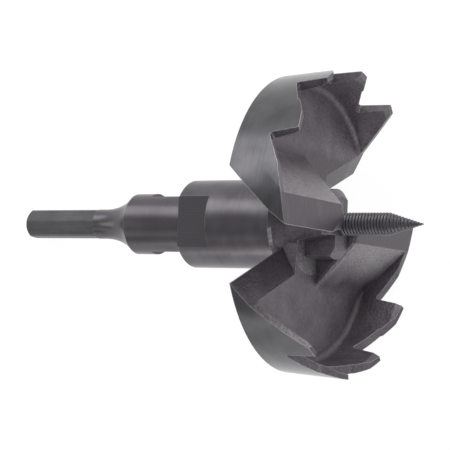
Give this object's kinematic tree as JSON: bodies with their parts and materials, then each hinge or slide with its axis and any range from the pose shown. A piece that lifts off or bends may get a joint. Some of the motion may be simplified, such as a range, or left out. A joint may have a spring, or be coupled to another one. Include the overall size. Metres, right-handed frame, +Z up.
{
  "type": "self-feed drill bit",
  "caption": "Self-feed boring head for timber, with toothed wings round a screw point, clamped on a stepped arbor with a hexagonal shank.",
  "frame": {"origin": "centre of the footprint, on the surface that the bit lies on", "axes": "+X along the lying bit from shank to screw point, +Z up"},
  "size_m": [0.1682, 0.1168, 0.1141],
  "materials": {
    "blackened_forged_steel": "forged and ground steel with a dark grey oxide finish, satin",
    "blackened_turned_steel": "turned and milled steel with a dark grey oxide finish, satin",
    "blackened_screw_steel": "thread-cut steel, black oxide, satin",
    "black_set_screw_steel": "socket set screw, black oxide, satin"
  },
  "bodies": {
    "root": {"cutter_head": "blackened_forged_steel", "arbor": "blackened_turned_steel", "feed_screw": "blackened_screw_steel", "set_screw": "black_set_screw_steel"}
  },
  "joints": []
}
